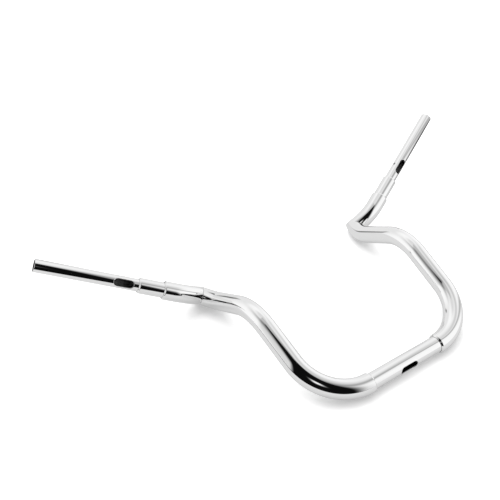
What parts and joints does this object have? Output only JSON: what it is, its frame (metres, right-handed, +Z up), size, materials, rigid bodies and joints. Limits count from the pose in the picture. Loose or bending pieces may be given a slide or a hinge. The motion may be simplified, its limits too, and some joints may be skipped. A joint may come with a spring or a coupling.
{
  "type": "ape hanger handlebar",
  "caption": "Peaked ape hanger motorbike handlebar of stepped chromed tubes, with bent fat risers, mitred peaks, thinner clamp and hand tubes, and wiring slots.",
  "frame": {"origin": "middle of the clamp tube, on its axis; the floor that the part rests on is 19.05 mm below", "axes": "+X along the clamp tube to the rider's right, +Y over the floor from the clamp tube towards the peaks, +Z up from the floor"},
  "size_m": [1.0162, 0.4997, 0.1929],
  "materials": {
    "chrome": "polished chrome plate on steel tube"
  },
  "bodies": {
    "root": {"clamp_tube": "chrome", "left_riser": "chrome", "right_riser": "chrome", "left_peak_tube": "chrome", "right_peak_tube": "chrome", "left_sleeve": "chrome", "right_sleeve": "chrome", "left_hand_tube": "chrome", "right_hand_tube": "chrome"}
  },
  "joints": []
}
